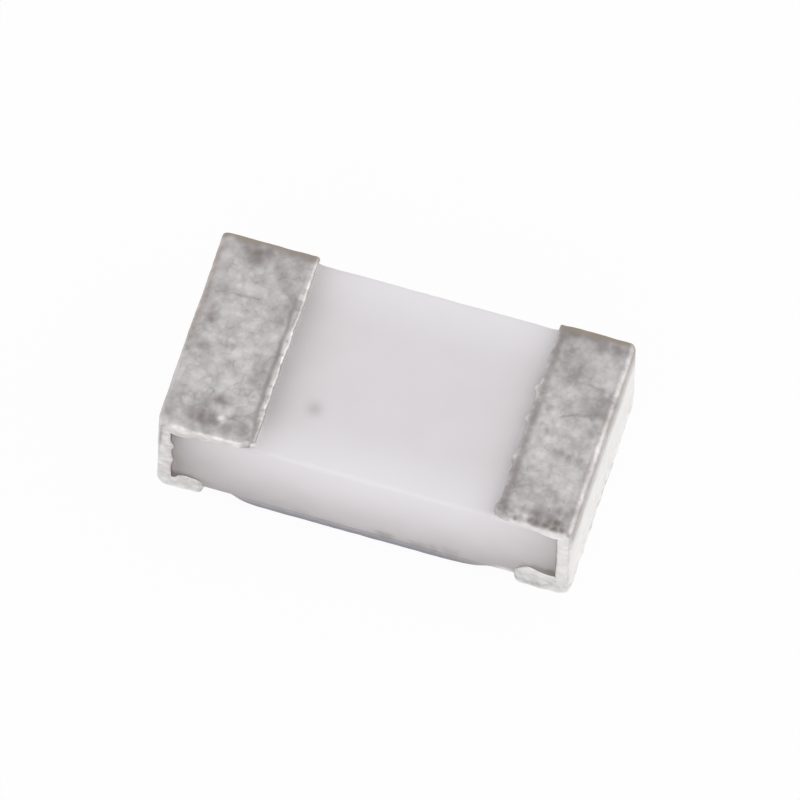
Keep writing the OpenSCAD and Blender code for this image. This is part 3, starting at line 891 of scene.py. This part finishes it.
def slab_section(high_r, low_r):
    """A closed line in Y and Z: a rectangle whose corners are quarter circles, with one radius for
    the upper two and one for the lower two."""
    n_top, n_side, n_turn = 64, 34, 6
    y, low, high = SLAB_HIGH.y, SLAB_LOW.z, SLAB_HIGH.z
    high_y, high_z, low_y, low_z = y - high_r, high - high_r, y - low_r, low + low_r
    return np.concatenate([
        arc(n_turn, (high_y, high_z), high_r, 0, 90), line(n_top, (high_y, high), (-high_y, high)),
        arc(n_turn, (-high_y, high_z), high_r, 90, 180), line(n_side, (-y, high_z), (-y, low_z)),
        arc(n_turn, (-low_y, low_z), low_r, 180, 270), line(n_top, (-low_y, low), (low_y, low)),
        arc(n_turn, (low_y, low_z), low_r, 270, 360), line(n_side, (y, low_z), (y, high_z))])


def side_smears(points):
    """How far the slab's sides and the coat's edge are smeared, from 0 to 1: for each smear a bell
    along X on warped points, fading out at its upper end."""
    p = warped(points, 0.06 * MM, 0.03 * MM, 83)
    share = np.zeros(points.shape[:-1])
    for x, top, reach, strength in SMEARS:
        below = 1 - ease((top - 0.07) * MM, (top + 0.01) * MM, p[..., 2])
        share = np.maximum(share, strength * hump(x * MM, reach * MM, p[..., 0]) * below)
    return share * ease(SLAB_HIGH.y - 0.03 * MM, SLAB_HIGH.y - 0.01 * MM, np.abs(points[..., 1]))


def slab_shade(points):
    """How far the ceramic is shaded, from 0 to 1. Light that scatters inside it fades towards the
    metal that covers it and towards the coat, so the shade is a sum of falls: along X from the
    bands on the upper face, from the end walls on the sides, towards the middle and downwards."""
    x, y, z = (points[..., axis] for axis in range(3))
    upper = ease(SLAB_HIGH.z - 0.05 * MM, SLAB_HIGH.z - 0.01 * MM, z)
    from_left = np.maximum(x + CHIP_END - LEFT_BAND, 0)
    from_right = np.maximum(CHIP_END - RIGHT_BAND - x, 0)
    from_near = y + SLAB_HIGH.y
    top = 0.54 * np.exp(-from_left / (0.14 * MM)) * (1 - 0.15 * np.exp(-from_left / (0.02 * MM)))
    top *= 0.55 + 0.45 * ease(0, 0.35 * MM, from_near)
    top += 0.27 * np.exp(-from_right / (0.15 * MM)) * (1 - 0.8 * np.exp(-from_right / (0.04 * MM)))
    top += 0.17 * ease(0, 0.45 * MM, SLAB_HIGH.y - np.abs(y))
    wall = 0.63 * np.exp(-(x + SLAB_HIGH.x) / (0.46 * MM))
    wall += 0.46 * np.exp(-(x + SLAB_HIGH.x) / (0.10 * MM))
    wall += 0.65 * np.exp(-(SLAB_HIGH.x - x) / (0.32 * MM))
    low = ((SLAB_HIGH.z - z) / (SLAB_HIGH.z - SLAB_LOW.z)) ** 1.6
    wall += 0.60 * low * (1 - 0.75 * np.exp(-(x + SLAB_HIGH.x) / (0.30 * MM)))
    # low down, beside the right foot, a patch stays clear
    wall *= 1 - 0.9 * hump(CLEAR_PATCH_X, 0.07 * MM, x) * (1 - ease(0.13 * MM, 0.17 * MM, z))
    cloud = 1 + 0.10 * layered_noise(points, 0.3 * MM, 2, 71)
    return np.clip((upper * top + (1 - upper) * wall) * cloud, 0, 1)


def slab_stain_and_shade(points):
    """Marks on the slab: painted shadow on its sides, in the corners above the feet and under the left
    band's outer end, smears above the coat, and one small smudge on the upper face."""
    x, y, z = (points[..., axis] for axis in range(3))
    p = warped(points, 0.06 * MM, 0.02 * MM, 83)
    from_left, from_right, pz = p[..., 0] + SLAB_HIGH.x, SLAB_HIGH.x - p[..., 0], p[..., 2]
    on_side = ease(SLAB_HIGH.y - 0.03 * MM, SLAB_HIGH.y - 0.01 * MM, np.abs(y))
    # the corners above the feet and under the left band's outer end take painted shadow
    left = 0.95 * (1 - np.clip(from_left / (0.36 * MM), 0, 1)) ** 1.2
    left *= hump(0.185 * MM, 0.05 * MM, pz)
    right = 0.9 * (1 - np.clip(from_right / (0.28 * MM), 0, 1)) ** 0.8
    right *= hump(0.27 * MM, 0.045 * MM, pz)
    rim = 0.6 * hump(0, 0.06 * MM, from_left) * hump(SLAB_HIGH.z, 0.14 * MM, pz)
    side = np.maximum(on_side * np.maximum.reduce([left, right, rim]), side_smears(points))
    smudge = hump(SMUDGE_X, SMUDGE_REACH, x) * hump(SMUDGE_Y, SMUDGE_REACH, y)
    return np.clip(np.maximum(side, 0.27 * smudge * (z > SLAB_HIGH.z - 0.01 * MM)), 0, 1)


def slab_rings(props):
    """The slab's section carried along X. Its upper long edges are a little uneven, as a snapped
    edge is, and sharper under the bands."""
    n_stations = 261
    deepest_cut = 0.006 * MM
    bare_section = slab_section(props.edge, props.low_edge)
    held_section = slab_section(props.low_edge, props.low_edge)
    x = np.linspace(SLAB_LOW.x, SLAB_HIGH.x, n_stations)
    from_band = np.minimum(x + CHIP_END - LEFT_BAND, CHIP_END - RIGHT_BAND - x)
    shown = ease(-0.03 * MM, 0.03 * MM, from_band)
    rings = np.empty((len(x), len(bare_section), 3))
    rings[..., 0] = x[:, None]
    rings[..., 1:] = held_section + shown[:, None, None] * (bare_section - held_section)
    dips = np.maximum(layered_noise(rings, 0.16 * MM, 3, 61) + 0.3, 0)
    at_side = hump(SLAB_HIGH.y, 0.02 * MM, np.abs(rings[..., 1]))
    high_edge = hump(SLAB_HIGH.z, 0.02 * MM, rings[..., 2]) * at_side
    bare = ease(0, 0.02 * MM, rings[..., 0] + CHIP_END - LEFT_BAND)
    bare *= ease(0, 0.02 * MM, CHIP_END - RIGHT_BAND - rings[..., 0])
    cut = deepest_cut * dips * high_edge * bare
    rings[..., 1] -= np.sign(rings[..., 1]) * cut
    rings[..., 2] -= cut
    return rings


def ceramic_material(props):
    """Fired alumina: faint clouds and a fine grain, shaded and stained by the mesh's masks."""
    s = Shader("alumina")
    cloud = s.noise(0.35 * MM, 2.0)
    grain = s.noise(0.018 * MM, 3.0, 0.6)
    base = s.mix(cloud.step(0.35, 0.75) * 0.10, tuple(props.body), darker(props.body, 0.86))
    base = s.mix(s.mask("shade"), base, tuple(props.shade))
    # the stain mask holds smears, a smudge and painted shadow in the corners
    base = s.mix(s.mask("stain_and_shade"), base, tuple(props.stain_and_shade))
    return s.finish({"Specular IOR Level": 0.35}, {
        "Base Color": base, "Roughness": 0.48 + 0.14 * grain, "Normal": s.bump(grain, 0.0005 * MM)})


class FuseCeramic(bpy.types.Operator):
    """Builds the ceramic slab over its CAD node"""
    bl_idname = "fuse.ceramic"
    bl_label = "Ceramic slab"

    def execute(self, context):
        props = context.scene.fuse_ceramic
        rings = slab_rings(props)
        masks = {"shade": slab_shade(rings), "stain_and_shade": slab_stain_and_shade(rings)}
        piece = ring_mesh("ceramic_slab", rings, masks)
        finished(piece, ceramic_material(props), "ceramic_substrate")
        return {"FINISHED"}


# The cover coat

def coat_rings(props):
    """The coat's section carried along X. Its lower face dips to just above the table, thins out
    along a curve towards both ends, sags over the layers inside and stays thick enough to cover
    the pads, and its long edges wander."""
    floor_z, left_slope, right_slope, radius, thin = (v * MM for v in (0.006, 0.22, 0.36, 0.018, 0.006))
    pad_cover, sag, ripple_height = (v * MM for v in (0.014, 0.006, 0.0025))
    n_stations, n_flat, n_edge, n_rise = 241, 60, 8, 6
    x = np.linspace(COAT_LOW.x, COAT_HIGH.x, n_stations)
    from_end = np.minimum(x - COAT_LOW.x, COAT_HIGH.x - x)
    left_gap = 1 - np.clip((x - COAT_LOW.x) / left_slope, 0, 1)
    right_gap = 1 - np.clip((COAT_HIGH.x - x) / right_slope, 0, 1)
    swell = (1 - left_gap ** 2.5) * (1 - right_gap ** 2.5)
    thick = (thin + (SLAB_LOW.z - floor_z - thin) * swell)[:, None]
    inset = radius * (1 - np.cos(np.linspace(0, math.pi / 2, n_edge + 1)))[:-1]
    y_edge = SLAB_HIGH.y
    flat = np.linspace(radius - y_edge, y_edge - radius, n_flat + 1)
    across = np.concatenate([inset - y_edge, flat, y_edge - inset[::-1]])
    corner = np.clip((np.abs(across) - (y_edge - radius)) / radius, 0, 1)
    lift = 1 - np.sqrt(1 - corner ** 2)
    low = np.empty((len(x), len(across), 3))
    low[..., 0] = x[:, None]
    low[..., 1] = across
    over_pad = 1 - ease(PAD_HIGH.y + 0.006 * MM, PAD_HIGH.y + 0.05 * MM, np.abs(across))
    thick = np.maximum(thick, (PAD_HIGH.z - SLAB_HIGH.z + pad_cover) * over_pad)
    low[..., 2] = SLAB_LOW.z - thick + np.minimum(radius, 0.9 * thick) * lift
    ripple = layered_noise(low, 0.2 * MM, 3, 131)
    inside = hump(0, 1.1 * GLAZE_HIGH.x, low[..., 0]) * hump(0, 1.1 * GLAZE_HIGH.y, low[..., 1])
    low[..., 2] += sag * (1 - inside) * ease(0, left_slope, from_end)[:, None]
    low[..., 2] += np.maximum(ripple_height * ripple, -0.004 * MM)
    wander = layered_noise(low * np.array([1, 2, 0]), 0.14 * MM, 2, 137)
    low[..., 1] -= np.sign(across) * corner * props.wander * np.clip(0.5 + 0.5 * wander, 0, 1)
    share = np.arange(1, n_rise + 1)[:, None] / n_rise
    top_far, top_near = low[:, -1:].copy(), low[:, :1].copy()
    top_far[..., 1:] = y_edge, SLAB_LOW.z
    top_near[..., 1:] = -y_edge, SLAB_LOW.z
    rise_far = low[:, -1:] + (top_far - low[:, -1:]) * share
    rise_near = top_near + (low[:, :1] - top_near) * (share - 1 / n_rise)
    return np.concatenate([low, rise_far, rise_near], axis=1)


def coat_material(props):
    """A dark polymer coat with small olive specks. Up the slab's side it thins out and turns pale,
    with the smears of the mesh's mask."""
    s = Shader("cover_coat")
    speck = s.noise(0.045 * MM, 3.0, 0.6, 0.4)
    wave = s.noise(0.10 * MM, 2.0, 0.5, 0.6)
    base = s.mix(speck.step(0.58, 0.70) * 0.4, tuple(props.dark), tuple(props.speck))
    edge = (s.height() + 0.03 * MM * (wave - 0.5)).step(0.045 * MM, 0.10 * MM)
    base = s.mix(edge, base, s.mix(s.mask("smear"), tuple(props.pale), tuple(props.speck)))
    return s.finish({"Specular IOR Level": 0.4}, {
        "Base Color": base, "Roughness": 0.34 + 0.2 * speck, "Normal": s.bump(speck, 0.0025 * MM)})


class FuseCoat(bpy.types.Operator):
    """Builds the cover coat over its CAD node"""
    bl_idname = "fuse.coat"
    bl_label = "Cover coat"

    def execute(self, context):
        props = context.scene.fuse_coat
        rings = coat_rings(props)
        piece = ring_mesh("underside_coat", rings, {"smear": side_smears(rings)})
        finished(piece, coat_material(props), "cover_coat")
        return {"FINISHED"}


# The layers sealed inside keep their CAD shapes

Layer = namedtuple("Layer", "colour metallic roughness")
LAYERS = {
    "silver_pad": Layer((0.72, 0.70, 0.67), 1.0, 0.42),
    "edge_electrode": Layer((0.66, 0.65, 0.62), 1.0, 0.35),
    "nickel": Layer((0.56, 0.52, 0.46), 1.0, 0.30),
    "link_alloy": Layer((0.64, 0.61, 0.56), 1.0, 0.36),
    "glaze": Layer((0.80, 0.81, 0.77), 0.0, 0.15),
    "arc_glass": Layer((0.35, 0.41, 0.34), 0.0, 0.12),
}


def layer_material(name, layer):
    """A printed or plated layer: faint clouds and a fine grain."""
    s = Shader(name)
    grain = s.noise(0.015 * MM, 3.0, 0.6)
    cloud = s.noise(0.12 * MM)
    base = s.mix(cloud.step(0.3, 0.7), darker(layer.colour, 0.88), layer.colour)
    return s.finish({"Metallic": layer.metallic}, {
        "Base Color": base, "Roughness": layer.roughness - 0.1 + 0.2 * grain,
        "Normal": s.bump(grain, 0.001 * MM)})


class FuseLayers(bpy.types.Operator):
    """Gives the pads, electrodes, barriers, glaze, link and glass patch their finishes"""
    bl_idname = "fuse.layers"
    bl_label = "Inner layers"

    def execute(self, context):
        made = {slot: layer_material(slot, layer) for slot, layer in LAYERS.items()}
        for part in frame["record"]["subparts"]:
            if part["material_slot"] in made:
                for slot in frame["nodes"][part["node"]].material_slots:
                    slot.material = made[part["material_slot"]]
        return {"FINISHED"}


# The stage, the lamps and the camera. The chip's origin falls on ORIGIN_PX of the image.

TABLE_HALF_SIDE = 0.6
Lamp = namedtuple("Lamp", "place size power")
LAMPS = {
    "right_lamp": Lamp((0.14, 0.03, 0.06), 0.17, 0.078),
    "front_lamp": Lamp((0.01, -0.15, 0.055), 0.14, 0.045),
}
IMAGE_MIDDLE_PX = 400.0
ORIGIN_PX = (395.59, 443.84)


def stage_sheet(name, half_side, material):
    """A flat square sheet about the origin, on the plane that the feet stand on."""
    corners = [(x * half_side, y * half_side, 0) for x, y in ((-1, -1), (1, -1), (1, 1), (-1, 1))]
    mesh = bpy.data.meshes.new(name)
    mesh.from_pydata(corners, [], [(0, 1, 2, 3)])
    mesh.materials.append(material)
    obj = bpy.data.objects.new(name, mesh)
    bpy.context.scene.collection.objects.link(obj)


def table_material(shade):
    """Nearly white as the camera and reflections see it, with the chip's shadow left in."""
    glow_share = 0.94
    s = Shader("table")
    rays = ("Is Camera Ray", "Is Glossy Ray", "Is Transmission Ray")
    seen = sum(s.node("ShaderNodeLightPath", {}, {}, ray) for ray in rays)
    matt = s.node("ShaderNodeBsdfDiffuse", {}, {"Color": (*shade, 1)})
    glow = s.node("ShaderNodeEmission", {}, {"Color": (1, 1, 1, 1), "Strength": 1.0})
    both = s.node("ShaderNodeMixShader", {}, {0: seen * glow_share, 1: matt, 2: glow})
    s.node("ShaderNodeOutputMaterial", {}, {"Surface": both})
    return s.material


def soft_lamp(name, lamp):
    """A square lamp that faces the chip."""
    data = bpy.data.lights.new(name, "AREA")
    data.size = lamp.size
    data.energy = lamp.power
    obj = bpy.data.objects.new(name, data)
    spot = Vector(lamp.place)
    obj.matrix_world = Matrix.Translation(spot) @ spot.to_track_quat("Z", "Y").to_matrix().to_4x4()
    bpy.context.scene.collection.objects.link(obj)


def add_camera(props):
    """A long lens that looks past the chip's origin, so that the origin falls on its pixel."""
    a, e, r = props.azimuth, props.elevation, props.roll
    back = Vector((math.sin(a) * math.cos(e), -math.cos(a) * math.cos(e), math.sin(e)))
    level = Vector((math.cos(a), math.sin(a), 0))
    upright = back.cross(level)
    right = math.cos(r) * level + math.sin(r) * upright
    up = math.cos(r) * upright - math.sin(r) * level
    px_per_m = props.scale / MM
    aim = (right * (IMAGE_MIDDLE_PX - ORIGIN_PX[0]) + up * (ORIGIN_PX[1] - IMAGE_MIDDLE_PX)) / px_per_m
    data = bpy.data.cameras.new("camera")
    data.sensor_width = 36
    data.lens = props.distance * px_per_m / (2 * IMAGE_MIDDLE_PX) * data.sensor_width
    data.clip_start = 0.01
    data.clip_end = 10
    camera = bpy.data.objects.new("camera", data)
    turn = Matrix((right, up, back)).transposed().to_4x4()
    camera.matrix_world = Matrix.Translation(aim + back * props.distance) @ turn
    bpy.context.scene.collection.objects.link(camera)
    bpy.context.scene.camera = camera


class FuseStage(bpy.types.Operator):
    """Lays the table, hangs the lamps and sets the camera"""
    bl_idname = "fuse.stage"
    bl_label = "Stage and camera"

    def execute(self, context):
        props = context.scene.fuse_stage
        stage_sheet("table", TABLE_HALF_SIDE, table_material(props.table))
        for name, lamp in LAMPS.items():
            soft_lamp(name, lamp)
        world = bpy.data.worlds.new("room")
        world.use_nodes = True
        world.node_tree.nodes["Background"].inputs["Color"].default_value = (*props.room, 1)
        context.scene.world = world
        context.scene.view_settings.view_transform = "Standard"
        add_camera(props)
        return {"FINISHED"}


class FusePanel(bpy.types.Panel):
    """Lists the chip fuse's pieces"""
    bl_label = "Chip Fuse"
    bl_idname = "FUSE_PT_pieces"
    bl_space_type = "VIEW_3D"
    bl_region_type = "UI"
    bl_category = "Chip Fuse"

    def draw(self, context):
        for operator in OPERATORS:
            self.layout.operator(operator.bl_idname)


OPERATORS = (FuseStage, FuseCeramic, FuseTin, FuseCoat, FuseLayers)
PROPS = {"fuse_tin": FuseTinProps, "fuse_ceramic": FuseCeramicProps, "fuse_coat": FuseCoatProps,
         "fuse_stage": FuseStageProps}


def register():
    """Makes the classes known and hangs the properties on the scene."""
    for item in (*PROPS.values(), *OPERATORS, FusePanel):
        bpy.utils.register_class(item)
    for name, group in PROPS.items():
        setattr(bpy.types.Scene, name, PointerProperty(type=group))


def unregister():
    """Takes the properties and the classes away again."""
    for name in PROPS:
        delattr(bpy.types.Scene, name)
    for item in reversed((*PROPS.values(), *OPERATORS, FusePanel)):
        bpy.utils.unregister_class(item)


def main():
    """Builds the stage and the chip."""
    register()
    bpy.ops.fuse.stage()
    bpy.ops.fuse.ceramic()
    bpy.ops.fuse.tin()
    bpy.ops.fuse.coat()
    bpy.ops.fuse.layers()


if __name__ == "__main__":
    main()
